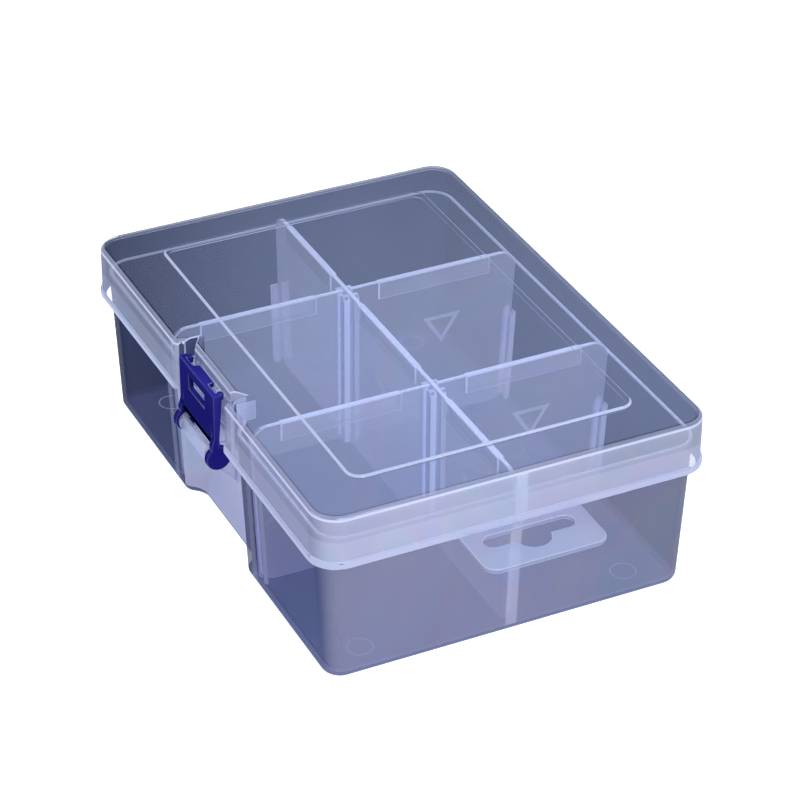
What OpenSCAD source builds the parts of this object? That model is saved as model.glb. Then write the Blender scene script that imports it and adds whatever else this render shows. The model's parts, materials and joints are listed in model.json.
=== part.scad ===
// Clear box for beads and other small craft parts: a deep tray with a hinged lid, a snap
// latch in a bay at the front, a hang tab at one end, and dividers that lift out.
// Millimetres, +Z up. The origin is the centre of the tray's underside. +X points to the
// end with the hang tab, and -Y to the front with the latch.

/* [Tray] */
// Height of the tray, from its underside to its rim
tray_height = 48; // [42:1:70]
// How far the tray's walls lean in from the rim to the underside
tray_lean = 2.3; // [1:0.1:2.8]
// Thickness of the tray's walls
tray_wall = 1.3; // [0.9:0.1:1.7]
// Thickness of the tray's floor
tray_floor = 1.4; // [1:0.1:2.2]
// Radius of the tray's upright corners, at the rim
tray_corner_r = 8; // [7:0.5:14]
// Radius of the edge round the underside
tray_edge_r = 2.8; // [2:0.1:3.2]
// Width of the slope between the walls and the floor, inside
tray_foot = 1.2; // [0.6:0.1:1.4]

/* [Lid] */
// Length of the lid over its rim bead, along X
lid_length = 165; // [150:1:220]
// Width of the lid over its rim bead, along Y
lid_width = 118.5; // [105:0.5:160]
// Radius of the lid's upright corners, at the rim bead
lid_corner_r = 8.5; // [7.5:0.5:10]
// Thickness of the lid's skirt
lid_wall = 1.2; // [0.9:0.1:1.5]
// Thickness of the lid's top
lid_top = 1.2; // [0.9:0.1:1.8]
// Radius of the edge round the lid's top
lid_edge_r = 1.6; // [0.8:0.1:1.6]
// How far the lid's rim hangs below the rim of the tray
lid_overlap = 8.2; // [6:0.1:10]
// Free height between the dividers and the lid
lid_headroom = 2.3; // [1:0.1:6]
// Clearance between the lid's skirt and the tray
lid_gap = 0.5; // [0.4:0.1:0.8]

/* [Lid rim bead] */
// Height of the bead
bead_height = 2.2; // [1.6:0.1:3]
// How far the bead stands out from the skirt
bead_proud = 0.6; // [0.3:0.1:0.8]
// Radius of the bead's outer edges
bead_edge_r = 0.5; // [0.2:0.1:0.7]

/* [Lid panel] */
// Length of the raised panel, along X
panel_length = 134; // [100:1:140]
// Width of the raised panel, along Y
panel_width = 85.4; // [60:0.1:92]
// Radius of the panel's corners
panel_corner_r = 4; // [2:0.5:8]
// How far the panel stands above the rest of the top
panel_rise = 0.6; // [0.3:0.1:1]
// Thickness of the step round the panel
panel_step = 0.8; // [0.5:0.1:1.5]

/* [Latch bay] */
// Width of the bay between the lid's side walls
bay_width = 34.4; // [31:0.2:42]
// Depth of the bay
bay_depth = 4.2; // [3.6:0.1:4.6]
// Radius of the lid's corners where the front turns into the bay
lid_bay_outer_r = 2.4; // [2.3:0.05:3]
// Radius of the lid's corners at the back of the bay
lid_bay_inner_r = 1.6; // [1:0.1:2]
// Radius of the tray's corners where the front turns into the bay
tray_bay_outer_r = 6; // [5.9:0.1:7]
// Radius of the tray's corners at the back of the bay
tray_bay_inner_r = 4.5; // [3:0.1:5]
// How much farther the flat back of the tray's bay runs on each side than the lid's
tray_bay_ease = 0.7; // [0.5:0.1:2.5]
// Depth of the corner pockets at the top of the lid's bay
pocket_depth = 3.1; // [2:0.1:4]
// Length of the corner pockets along the back of the bay
pocket_run = 4.5; // [3:0.1:6]
// Height of the corner pockets
pocket_height = 6.4; // [3:0.1:6.4]

/* [Latch] */
// Width of the latch
latch_width = 25; // [22:0.5:28]
// Width of each side leg and flange
leg_width = 2.2; // [1.6:0.1:3]
// Thickness of the front plate
latch_plate = 1.6; // [1.2:0.1:2]
// How far the latch's top edge lies below the lid's flat top
latch_top_drop = 1.5; // [0.5:0.1:3]
// How far the latch's face stands in front of the lid's rim bead
latch_proud = 0.15; // [0:0.05:1]
// Depth of the side flanges at the latch's top edge
flange_top_depth = 2.7; // [2:0.1:3]
// Depth of the side flanges at the foot of the front plate
flange_foot_depth = 1.2; // [1:0.1:1.6]
// How far the legs stand in front of the plate, beside the pivot
leg_proud = 0.8; // [0:0.1:1.2]
// Radius of the round lobes at the pivot
lobe_r = 3.6; // [3:0.1:4]
// Height of the opening between the legs, over the pivot
arch_height = 5.2; // [4.4:0.1:7]
// Radius of that opening's upper corners
arch_r = 1.5; // [0.5:0.1:2.5]
// Width of the window
window_width = 11.2; // [8:0.2:14]
// Height of the window
window_height = 4.4; // [4.1:0.1:5]
// Distance from the latch's top edge down to the window
window_drop = 2.8; // [2:0.1:4]
// Thickness of the hook flap
flap_thickness = 1.5; // [1:0.1:2]
// Width of the hook flap at the plate
flap_root = 12; // [9:0.5:16]
// Width of the hook flap at its tip
flap_tip = 10; // [6:0.5:9]
// How far the hook flap reaches in from the latch's face
flap_reach = 3.45; // [2.5:0.05:3.6]
// Radius of the two round nubs on the flanges
nub_r = 1; // [0.6:0.1:1.1]
// Height of the nubs
nub_height = 2; // [1:0.1:4]
// How far the nubs' middles lie outwards of the flanges' inner faces
nub_shift = 0.5; // [0:0.1:0.8]

/* [Latch pivot] */
// How far the pivot lies below the lid's rim bead
pivot_drop = 5.8; // [5.5:0.1:8]
// How far the pivot lies behind the latch's face
pivot_setback = 1.2; // [1:0.1:1.6]
// Diameter of the stub pins and of the hinge pins
pin_diameter = 3; // [2:0.1:3.2]
// Clearance round each pin
pin_gap = 0.05; // [0.03:0.01:0.09]
// Length of the stub pins
stub_length = 1.6; // [1:0.1:1.8]
// Sideways clearance between the legs and the bracket
leg_gap = 0.3; // [0.2:0.05:0.5]
// Thickness of the bracket's cheeks
cheek_thickness = 1.6; // [1.2:0.1:2.4]
// Radius of the cheeks round the pivot
cheek_r = 3; // [2.5:0.1:3.4]
// Thickness of the bracket's front bar
bar_thickness = 1.2; // [0.8:0.1:1.6]
// Height of the bracket's front bar
bar_height = 6; // [4:0.1:6.4]
// How far the cheeks run down the tray's wall below the pivot
gusset_drop = 12; // [6:0.5:18]

/* [Catch] */
// Width of the ridge that the hook flap snaps over
catch_width = 12; // [8:0.5:16]
// Height of the ridge
catch_height = 1.8; // [1:0.1:2.4]
// Distance from the ridge up to the hook flap
catch_gap = 0.7; // [0.3:0.1:1.5]
// Distance that keeps the ridge clear of the swinging flap
catch_clearance = 0.2; // [0.15:0.05:0.6]

/* [Hinge] */
// Distance between the middles of the two hinges
hinge_spacing = 80; // [60:1:100]
// How far the hinge axis lies behind the lid's rim bead
hinge_setback = 1.95; // [1.9:0.05:3]
// How far the hinge axis lies below the lid's rim bead
hinge_drop = 1.6; // [1.6:0.05:3]
// Radius of the lid's hinge clips
clip_r = 2.9; // [2.4:0.1:3.2]
// Width of the lid's hinge clips
clip_width = 10; // [6:0.5:16]
// Width of the slot through which a clip snaps over its pin
clip_slot = 2.2; // [1.4:0.1:2.6]
// Radius of the tray's lugs round the hinge axis
lug_r = 2.1; // [1.7:0.1:2.3]
// Thickness of the lugs
lug_thickness = 2.5; // [1.5:0.1:4]
// Sideways clearance between a clip and its lugs
lug_gap = 0.4; // [0.2:0.05:0.8]
// Clearance between the lugs' arms and the lid's rim bead
arm_gap = 0.5; // [0.3:0.1:1]
// How far a lug's arm runs down the tray's wall below the axis
arm_drop = 5.2; // [4:0.1:8]

/* [Hang tab] */
// How far the tab stands out beyond the lid's rim bead
tab_length = 16.5; // [14:0.5:24]
// Width of the tab
tab_width = 36.6; // [32:0.2:50]
// Thickness of the tab
tab_thickness = 1.4; // [1:0.1:2.4]
// Radius of the tab's outer corners
tab_corner_r = 4; // [2:0.5:8]
// Clearance between the tab and the lid's rim bead
tab_gap = 0.4; // [0.2:0.1:1]
// Length of the hanging slot
slot_length = 27; // [18:0.5:30]
// Width of the hanging slot
slot_width = 5.4; // [4.5:0.1:7]
// Distance from the lid's rim bead to the slot
slot_inset = 1.4; // [1:0.1:2.4]
// Radius of the bulge in the middle of the slot
bulge_r = 5; // [4:0.1:5.4]
// How far the bulge's middle lies outside the slot's middle
bulge_shift = 2.3; // [0.5:0.1:3.2]

/* [Dividers] */
// How far the dividers stand above the rim of the tray
divider_rise = 4.5; // [1:0.1:6]
// Thickness of the dividers
divider_web = 1.4; // [1:0.1:1.8]
// Distance between the two rows of short dividers
divider_spacing = 57; // [54:0.5:70]
// Clearance at the dividers' ends
divider_gap = 0.2; // [0.1:0.05:0.5]
// Radius of the corners at the tray's wall
divider_corner_r = 5; // [3:0.5:8]
// Thickness of the grip strip along the top
strip_thickness = 2.2; // [1.8:0.1:3]
// Height of the grip strip
strip_height = 5.5; // [3:0.1:8]
// Distance from the end of a divider to its grip strip
strip_start = 9.2; // [6:0.1:14]
// Width of the triangle marks
mark_width = 11.5; // [6:0.5:16]
// Height of the triangle marks
mark_height = 9; // [5:0.5:12]
// Width of the marks' raised line
mark_line = 0.8; // [0.5:0.1:1.2]
// How far the marks' line stands out
mark_proud = 0.3; // [0.2:0.1:0.6]
// Height of the marks' lower tip over the tray's underside
mark_z = 27; // [15:0.5:34]
// Distance from the long divider to the marks on the short ones
mark_y = 31; // [18:0.5:36]

/* [Divider channels] */
// Clearance between a divider and each side of its channel
channel_gap = 0.15; // [0.1:0.05:0.3]
// Width of the ribs on the tray's walls
wall_rib_width = 1.9; // [1:0.1:3]
// How far those ribs stand out
wall_rib_proud = 1.5; // [1:0.1:2.5]
// Top of the ribs on the two ends of the tray
end_rib_z = 28; // [15:0.5:38]
// Top of the ribs on the front and back of the tray
side_rib_z = 32; // [15:0.5:38]
// Width of the ribs on the long divider
web_rib_width = 2.9; // [1.5:0.1:4]
// How far those ribs stand out
web_rib_proud = 1.8; // [1:0.1:2.5]
// How far their round tops stay below the divider's top
web_rib_drop = 0.6; // [0.2:0.1:3]

/* [Hidden] */

$fn = 64;
clear_plastic = [0.74, 0.79, 0.93, 0.6];
blue_plastic = [0.07, 0.08, 0.36];

// How far shapes that are joined run into each other, and cuts run past a face
joint = 0.3;
// How far the shapes that together cut out the bay run over each other, also as an angle
bay_lap = 1;
bay_lap_turn = 3;

// Heights that follow from the tray, the dividers and the lid
divider_top = tray_height + divider_rise;
lid_z = divider_top + lid_headroom + lid_top;
bead_z = tray_height - lid_overlap;
bead_top_z = bead_z + bead_height;

// Slope of the tray's walls from the upright
tray_slope = atan(tray_lean / tray_height);

// Distance inwards from the lid's outline to the tray's
tray_inset = bead_proud + lid_wall + lid_gap;
lid_bay_flat = bay_width / 2 - bead_proud - lid_bay_inner_r;

// An outline is [half length and half width, corner radius, half length of the bay's flat
// back, radius where the front turns into the bay, radius at the back of the bay]
HALF = 0;
CORNER = 1;
FLAT = 2;
OUTER = 3;
INNER = 4;
lid_half = [lid_length, lid_width] / 2;
tray_half = lid_half - [tray_inset, tray_inset];
lid_outline = [lid_half, lid_corner_r, lid_bay_flat, lid_bay_outer_r, lid_bay_inner_r];
tray_outline = [tray_half, tray_corner_r, lid_bay_flat + tray_bay_ease, tray_bay_outer_r, tray_bay_inner_r];

// Axes as [y, z]
latch_face_y = -lid_half.y - latch_proud;
latch_pivot = [latch_face_y + pivot_setback, bead_z - pivot_drop];
hinge_axis = [lid_half.y + hinge_setback, bead_z - hinge_drop];
pin_r = pin_diameter / 2;
bore_r = pin_r + pin_gap;

latch_top_z = lid_z - latch_top_drop;
leg_inner_x = latch_width / 2 - leg_width;
cheek_outer_x = leg_inner_x - leg_gap;
cheek_inner_x = cheek_outer_x - cheek_thickness;
channel_width = divider_web + 2 * channel_gap;
divider_height = divider_top - tray_floor;

// Distance inwards from the tray's outline to the outside, the inside and the middle of its wall
function wall_out(z) = tray_lean * (1 - z / tray_height);
function wall_in(z) = wall_out(z) + tray_wall / cos(tray_slope);
function wall_mid(z) = wall_out(z) + tray_wall / 2;

// Angle through which each of the bay's four corners turns
function bay_turn(o) =
    bay_depth >= o[OUTER] + o[INNER] ? 90 : acos(1 - bay_depth / (o[OUTER] + o[INNER]));
// Length of the straight stretch between the corners of a deep bay
function bay_rise(o) = max(0, bay_depth - o[OUTER] - o[INNER]);
// Centres of the bay's corners on the +X side
function inner_centre(o) = [o[FLAT], bay_depth - o[INNER] - o[HALF].y];
function outer_centre(o) =
    [o[FLAT] + (o[OUTER] + o[INNER]) * sin(bay_turn(o)), o[OUTER] - o[HALF].y];

// Centre of the round edge between a leaning face and y = 0, which would meet at foot_n
function edge_centre(foot_n, slope, r) = [foot_n - r * tan(slope) + r / cos(slope), r];
tray_edge_centre = edge_centre(tray_lean, tray_slope, tray_edge_r);

// Where a line from a point touches a circle, on the side that the sign gives
function touch_point(point, centre, r, sign) =
    let (way = point - centre, a = atan2(way.y, way.x) + sign * acos(r / norm(way)))
    centre + r * [cos(a), sin(a)];

// ---- shapes that several pieces use ----

module rounded_rectangle(size, r) {
    square([size.x - 2 * r, size.y], center = true);
    square([size.x, size.y - 2 * r], center = true);
    for (x = [-1, 1], y = [-1, 1])
        translate([x * (size.x / 2 - r), y * (size.y / 2 - r)]) circle(r);
}

// A flat shape drawn in Y and Z, given a width along X about its middle
module across(x, width) {
    translate([x - width / 2, 0, 0]) rotate([90, 0, 90]) linear_extrude(width) children();
}

// A flat shape drawn in X and Z, given a width along Y about its middle
module along(y, width) {
    translate([0, y + width / 2, 0]) rotate([90, 0, 0]) linear_extrude(width) children();
}

// The part of a circle between its lowest point and the way that is opposite to the given one
module sector(centre, r, away) {
    intersection() {
        translate(centre) circle(r);
        polygon([centre, centre - 2 * away, centre - [2 * r, 2 * r], centre - [0, 2 * r]]);
    }
}

// Section of a leaning wall that turns into a floor through a round edge:
// x is the distance inwards, y the height, and foot_n where the wall's face would meet y = 0
module corner_section(foot_n, slope, height, r, end_n) {
    centre = edge_centre(foot_n, slope, r);
    touch = centre - r * [cos(slope), sin(slope)];
    sector(centre, r, centre - touch);
    polygon([
        touch,
        [foot_n - height * tan(slope), height],
        [end_n, height],
        [end_n, 0],
        [centre.x, 0],
        centre,
    ]);
}

// A section carried along a straight stretch whose outside faces the given way
module side_wall(length, at, facing) {
    translate([at.x, at.y, 0]) rotate([0, 0, facing]) rotate([90, 0, 0])
        linear_extrude(length, center = true) mirror([1, 0]) children();
}

// A section carried a quarter turn round a corner that bulges out, and round one that bends in
module outer_corner(r, from) {
    rotate([0, 0, from]) rotate_extrude(angle = 90) translate([r, 0]) mirror([1, 0]) children();
}

module inner_corner(r) {
    rotate_extrude(angle = 90) translate([r, 0]) children();
}

// The part of a quarter turn, about the origin, that lies within a bay corner's smaller turn:
// sign 1 keeps what is next to the bay's back, and -1 what is next to the front
module within_turn(turn, sign, reach) {
    if (turn < 90)
        intersection() {
            children();
            translate([0, 0, -joint]) linear_extrude(lid_z + 2 * joint)
                polygon(sign * reach * [[0, 0], [sin(turn), cos(turn)], [0, 1], [-1, 1], [-1, 0]]);
        }
    else children();
}

// A wall section carried all round an outline with its bay
module wall_round(o) {
    half = o[HALF];
    r = o[CORNER];
    inner = inner_centre(o);
    outer = outer_centre(o);
    turn = bay_turn(o);
    reach = 2 * (o[OUTER] + o[INNER]);
    rise = bay_rise(o);
    side_wall(2 * (half.x - r), [0, half.y], 90) children();
    side_wall(2 * o[FLAT], [0, bay_depth - half.y], -90) children();
    for (side = [0, 1]) mirror([side, 0, 0]) {
        side_wall(2 * (half.y - r), [half.x, 0], 0) children();
        side_wall(half.x - r - outer.x, [(half.x - r + outer.x) / 2, -half.y], -90) children();
        translate([half.x - r, half.y - r, 0]) outer_corner(r, 0) children();
        translate([half.x - r, r - half.y, 0]) outer_corner(r, -90) children();
        translate([outer.x, outer.y, 0])
            within_turn(turn, -1, reach) outer_corner(o[OUTER], 180) children();
        translate([inner.x, inner.y, 0]) within_turn(turn, 1, reach) inner_corner(o[INNER]) children();
        if (rise > 0)
            side_wall(rise, [inner.x + o[INNER], (inner.y + outer.y) / 2], 180) children();
    }
}

// The flat shape inside an outline, drawn in by n. The shapes that cut out the bay overlap,
// so that no sliver is left between them.
module outline_shape(o, n) {
    inner = inner_centre(o);
    outer = outer_centre(o);
    turn = bay_turn(o);
    way = [sin(turn), cos(turn)];
    reach = o[INNER] + n;
    past_turn = turn + bay_lap_turn;
    low = -o[HALF].y - o[INNER] - bay_lap;
    left = [-bay_lap, 0];
    difference() {
        rounded_rectangle(2 * (o[HALF] - [n, n]), o[CORNER] - n);
        translate([-o[FLAT], low]) square([2 * o[FLAT], inner.y + reach - low]);
        for (side = [0, 1]) mirror([side, 0]) {
            intersection() {
                translate(inner) circle(reach);
                polygon([
                    inner + left,
                    inner + left + [0, 2 * reach],
                    inner + [0, 2 * reach],
                    inner + 2 * reach * [sin(past_turn), cos(past_turn)],
                    inner,
                ]);
            }
            difference() {
                polygon(concat(
                    [[o[FLAT], low] + left, inner + left, inner + reach * way],
                    bay_rise(o) > 0 ? [outer - (o[OUTER] - n) * way] : [],
                    [outer, [outer.x, low]]
                ));
                translate(outer) circle(o[OUTER] - n);
            }
        }
    }
}

// ---- tray ----

// Section of the tray's wall: x is the distance inwards from the outline, y the height
module tray_section() {
    r = tray_edge_r;
    foot_z = tray_floor + tray_foot;
    difference() {
        polygon([
            [wall_out(0), 0],
            [wall_out(tray_height), tray_height],
            [wall_in(tray_height), tray_height],
            [wall_in(foot_z), foot_z],
            [wall_in(tray_floor) + tray_foot, tray_floor],
            [tray_edge_centre.x + joint, tray_floor],
            [tray_edge_centre.x + joint, 0],
        ]);
        // The round edge of the underside
        difference() {
            polygon([
                tray_edge_centre,
                tray_edge_centre - (r + joint) * [cos(tray_slope), sin(tray_slope)],
                [tray_lean - 2 * joint, -joint],
                [tray_edge_centre.x, -joint],
            ]);
            translate(tray_edge_centre) circle(r);
        }
    }
}

module tray_shell() {
    wall_round(tray_outline) tray_section();
    linear_extrude(tray_floor) outline_shape(tray_outline, tray_edge_centre.x + joint / 2);
}

// One rib of a channel on the tray's wall, in distance inwards and height
module wall_rib_section(top) {
    low = tray_floor - joint;
    polygon([
        [wall_mid(low), low],
        [wall_in(low) + wall_rib_proud, low],
        [wall_in(top) + wall_rib_proud, top - wall_rib_proud],
        [wall_in(top), top],
        [wall_mid(top), top],
    ]);
}

// The pair of ribs that holds the end of a divider, on the wall that faces the given way
module wall_channel(at, facing, top) {
    shift = (channel_width + wall_rib_width) / 2;
    translate([at.x, at.y, 0]) rotate([0, 0, facing])
        for (side = [-1, 1]) side_wall(wall_rib_width, [0, side * shift], 0) wall_rib_section(top);
}

module hang_tab_shape() {
    end = lid_half.x + tab_length;
    root = tray_half.x - wall_mid(bead_z);
    slot_x = lid_half.x + slot_inset + slot_width / 2;
    difference() {
        union() {
            translate([root, -tab_width / 2]) square([end - tab_corner_r - root, tab_width]);
            translate([root, tab_corner_r - tab_width / 2])
                square([end - root, tab_width - 2 * tab_corner_r]);
            for (side = [-1, 1])
                translate([end - tab_corner_r, side * (tab_width / 2 - tab_corner_r)])
                    circle(tab_corner_r);
        }
        translate([slot_x, 0]) {
            square([slot_width, slot_length - slot_width], center = true);
            for (side = [-1, 1])
                translate([0, side * (slot_length - slot_width) / 2]) circle(slot_width / 2);
            translate([bulge_shift, 0]) circle(bulge_r);
        }
    }
}

module hang_tab() {
    translate([0, 0, bead_z - tab_gap - tab_thickness])
        linear_extrude(tab_thickness) hang_tab_shape();
}

// One lug of a hinge: a round end on an arm that stands out from the tray's wall
module lug_shape() {
    arm_top = bead_z - arm_gap;
    root_y = tray_half.y - wall_mid(hinge_axis.y);
    foot = [root_y, hinge_axis.y - arm_drop];
    translate(hinge_axis) circle(lug_r);
    polygon([
        foot,
        touch_point(foot, hinge_axis, lug_r, 1),
        hinge_axis,
        [hinge_axis.x, arm_top],
        [root_y, arm_top],
    ]);
}

module hinge_lugs(x) {
    shift = clip_width / 2 + lug_gap + lug_thickness / 2;
    for (side = [-1, 1]) across(x + side * shift, lug_thickness) lug_shape();
    across(x, clip_width + 2 * (lug_gap + joint)) translate(hinge_axis) circle(pin_r);
}

// One cheek of the latch's bracket, seen from the side
module cheek_shape() {
    wall_y = bay_depth - tray_half.y;
    low_z = latch_pivot.y - gusset_drop;
    foot = [wall_y + wall_mid(low_z), low_z];
    top_z = latch_pivot.y + cheek_r;
    translate(latch_pivot) circle(cheek_r);
    polygon([
        touch_point(foot, latch_pivot, cheek_r, -1),
        foot,
        [wall_y + wall_mid(top_z), top_z],
        [latch_pivot.x, top_z],
        latch_pivot,
    ]);
}

module latch_bracket() {
    cheek_x = (cheek_inner_x + cheek_outer_x) / 2;
    bar_y = latch_face_y - bar_thickness;
    difference() {
        union() {
            for (side = [-1, 1]) across(side * cheek_x, cheek_thickness) cheek_shape();
            translate([-cheek_inner_x - joint / 2, bar_y, latch_pivot.y - bar_height / 2])
                cube([2 * cheek_inner_x + joint, bar_thickness, bar_height]);
        }
        for (side = [-1, 1])
            across(side * cheek_x, cheek_thickness + joint) translate(latch_pivot) circle(bore_r);
    }
}

module base_tray() {
    color(clear_plastic) {
        tray_shell();
        hang_tab();
        latch_bracket();
        for (side = [-1, 1]) {
            hinge_lugs(side * hinge_spacing / 2);
            for (facing = [-90, 90])
                wall_channel([side * divider_spacing / 2, sign(facing) * tray_half.y], facing, side_rib_z);
        }
        for (facing = [0, 180])
            wall_channel([cos(facing) * tray_half.x, 0], facing, end_rib_z);
    }
}

// ---- lid ----

// A plate of the lid's outline, drawn in by n, from one height to another
module lid_plate(n, low_z, high_z) {
    translate([0, 0, low_z]) linear_extrude(high_z - low_z) outline_shape(lid_outline, n);
}

// The raised panel, and the hollow under it
module panel_plate() {
    translate([0, 0, lid_z - lid_top / 2])
        linear_extrude(panel_rise + lid_top / 2)
            rounded_rectangle([panel_length, panel_width], panel_corner_r);
}

module panel_hollow() {
    hollow = [panel_length, panel_width] - 2 * [panel_step, panel_step];
    translate([0, 0, lid_z - lid_top - joint])
        linear_extrude(panel_rise + joint) rounded_rectangle(hollow, panel_corner_r - panel_step);
}

// The lid's shell, open at the bottom, still without its pockets and round edges
module lid_shell() {
    difference() {
        union() {
            lid_plate(bead_proud, bead_z, lid_z);
            lid_plate(0, bead_z, bead_top_z);
            panel_plate();
        }
        lid_plate(bead_proud + lid_wall, bead_z - joint, lid_z - lid_top);
        panel_hollow();
    }
}

// The three-sided pocket at each top corner of the bay, grown by a wall
module pocket_shape(wall) {
    side_x = bay_width / 2;
    back_y = bay_depth - lid_half.y + bead_proud;
    slant = norm([pocket_run, pocket_depth]);
    // The grown slanted side keeps its distance from the plain one
    far_x = side_x - pocket_run - wall * slant / pocket_depth;
    top_y = back_y + pocket_depth + wall * (slant + pocket_depth) / pocket_run;
    lap = wall > 0 ? 0 : lid_wall;
    polygon([[side_x + wall, back_y - lap], [side_x + wall, top_y], [far_x, back_y], [far_x, back_y - lap]]);
}

module lid_pockets(wall, low_z, high_z) {
    for (side = [0, 1]) mirror([side, 0, 0])
        translate([0, 0, low_z]) linear_extrude(high_z - low_z) pocket_shape(wall);
}

// What a round edge takes away from a wall whose face lies at the distance n inwards, with
// the wall's end at the height z: sign 1 for an upper edge and -1 for a lower one
module edge_cut(n, z, r, sign) {
    wall_round(lid_outline) difference() {
        translate([n - joint, min(z - sign * r, z + sign * joint)]) square([r + joint, r + joint]);
        translate([n + r, z - sign * r]) circle(r);
    }
}

module catch_ridge() {
    flap_y = latch_face_y + flap_reach;
    back_y = bay_depth - lid_half.y + bead_proud + lid_wall / 2;
    top_z = latch_top_z - flap_thickness - catch_gap;
    translate([-catch_width / 2, flap_y + catch_clearance, top_z - catch_height])
        cube([catch_width, back_y - flap_y - catch_clearance, catch_height]);
}

// One clip of the hinge: an open ring under the rim bead, with the block that carries it
module clip_shape() {
    root_y = lid_half.y - bead_proud;
    difference() {
        union() {
            translate(hinge_axis) circle(clip_r);
            translate([root_y, bead_z])
                square([hinge_axis.x - root_y, hinge_axis.y + clip_r - bead_z]);
        }
        translate(hinge_axis) circle(bore_r);
        translate(hinge_axis - [clip_slot / 2, clip_r + joint]) square([clip_slot, clip_r + joint]);
    }
}

module lid() {
    pocket_z = lid_z - pocket_height;
    color(clear_plastic) {
        difference() {
            union() {
                lid_shell();
                lid_pockets(lid_wall, pocket_z - lid_wall, lid_z - lid_top / 2);
            }
            lid_pockets(0, pocket_z, lid_z + joint);
            edge_cut(bead_proud, lid_z, lid_edge_r, 1);
            edge_cut(0, bead_top_z, bead_edge_r, 1);
            edge_cut(0, bead_z, bead_edge_r, -1);
        }
        catch_ridge();
        for (side = [-1, 1]) across(side * hinge_spacing / 2, clip_width) clip_shape();
    }
}

// ---- latch ----

// Side leg with its flange and lobe, seen from the side
module leg_shape() {
    face = latch_face_y;
    bend_z = latch_pivot.y + arch_height + latch_plate;
    leg_back = latch_pivot.x;
    translate(latch_pivot) circle(lobe_r);
    polygon([
        [face, latch_top_z],
        [face + flange_top_depth, latch_top_z],
        [face + flange_foot_depth + latch_plate / 4, bend_z],
        [leg_back, latch_pivot.y + arch_height - leg_proud],
        [leg_back, latch_pivot.y],
        [face - leg_proud, latch_pivot.y],
        [face - leg_proud, latch_pivot.y + arch_height - leg_proud],
        [face, bend_z],
    ]);
}

module latch_plate_shape() {
    foot_z = latch_pivot.y + arch_height;
    window_top = latch_top_z - window_drop;
    difference() {
        translate([-latch_width / 2, foot_z - arch_r])
            square([latch_width, latch_top_z - foot_z + arch_r]);
        translate([-window_width / 2, window_top - window_height])
            square([window_width, window_height]);
        translate([arch_r - leg_inner_x, foot_z - 2 * arch_r])
            square([2 * (leg_inner_x - arch_r), 2 * arch_r]);
        for (side = [-1, 1])
            translate([side * (leg_inner_x - arch_r), foot_z - arch_r]) circle(arch_r);
    }
}

module hook_flap() {
    translate([0, latch_face_y, latch_top_z - flap_thickness])
        linear_extrude(flap_thickness)
            polygon([
                [-flap_root / 2, 0],
                [flap_root / 2, 0],
                [flap_tip / 2, flap_reach],
                [-flap_tip / 2, flap_reach],
            ]);
}

module latch() {
    leg_x = (latch_width - leg_width) / 2;
    stub_x = leg_inner_x + (joint - stub_length) / 2;
    nub_y = latch_face_y + flange_top_depth;
    color(blue_plastic) {
        along(latch_face_y + latch_plate / 2, latch_plate) latch_plate_shape();
        hook_flap();
        for (side = [-1, 1]) {
            across(side * leg_x, leg_width) leg_shape();
            across(side * stub_x, stub_length + joint) translate(latch_pivot) circle(pin_r);
            translate([side * (leg_inner_x + nub_shift), nub_y, latch_top_z - nub_height])
                cylinder(h = nub_height, r = nub_r);
        }
    }
}

// ---- dividers ----

// A divider from the middle of the box to the wall at the given half size
module divider_blank(half) {
    foot_n = wall_in(tray_floor) + divider_gap;
    top_n = foot_n - divider_height * tan(tray_slope);
    translate([half, tray_floor]) mirror([1, 0]) intersection() {
        corner_section(foot_n, tray_slope, divider_height, divider_corner_r, half + joint);
        translate([0, divider_height]) mirror([0, 1])
            corner_section(top_n, -tray_slope, divider_height, divider_corner_r, half + joint);
    }
}

// The grip strip along the top, from one place to another
module strip_shape(from, to) {
    translate([from, divider_top - strip_height]) square([to - from, strip_height]);
}

// Outline of a triangle that points down, with its tip at the origin
module mark_shape() {
    side = norm([mark_width / 2, mark_height]);
    inner_r = mark_width * mark_height / (mark_width + 2 * side);
    shrink = 1 - mark_line / inner_r;
    middle = [0, mark_height - inner_r];
    corners = [[0, 0], [mark_width / 2, mark_height], [-mark_width / 2, mark_height]];
    difference() {
        polygon(corners);
        polygon([for (corner = corners) middle + shrink * (corner - middle)]);
    }
}

// How far a divider reaches from the middle of the box, at its top
function divider_reach(half) = half - wall_in(divider_top) - divider_gap;

module web_rib_shape() {
    r = web_rib_width / 2;
    top = divider_top - web_rib_drop;
    translate([-r, tray_floor]) square([web_rib_width, top - r - tray_floor]);
    translate([0, top - r]) circle(r);
}

module long_divider() {
    row_x = divider_spacing / 2;
    end_x = divider_reach(tray_half.x);
    rib_shift = (channel_width + web_rib_width) / 2;
    color(clear_plastic) {
        for (side = [0, 1]) mirror([side, 0, 0]) along(0, divider_web) divider_blank(tray_half.x);
        along(0, strip_thickness) {
            strip_shape(strip_start - row_x, row_x - strip_start);
            for (side = [0, 1]) mirror([side, 0])
                strip_shape(row_x + strip_start, end_x - strip_start);
        }
        along(0, divider_web + 2 * web_rib_proud)
            for (x = [-row_x, row_x], side = [-1, 1])
                translate([x + side * rib_shift, 0]) web_rib_shape();
        along(-(divider_web + mark_proud) / 2 + joint / 2, mark_proud + joint)
            for (x = [-1, 0, 1]) translate([x * (row_x + end_x) / 2, mark_z]) mark_shape();
    }
}

// A short divider of the back row, at the given place along X
module short_divider(x) {
    start = divider_web / 2 + divider_gap;
    end = divider_reach(tray_half.y);
    across(x, divider_web) intersection() {
        divider_blank(tray_half.y);
        translate([start, 0]) square([tray_half.y, divider_top]);
    }
    across(x, strip_thickness) strip_shape(start + strip_start, end - strip_start);
    across(x + (divider_web + mark_proud - joint) / 2, mark_proud + joint)
        translate([mark_y, mark_z]) mark_shape();
}

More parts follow.
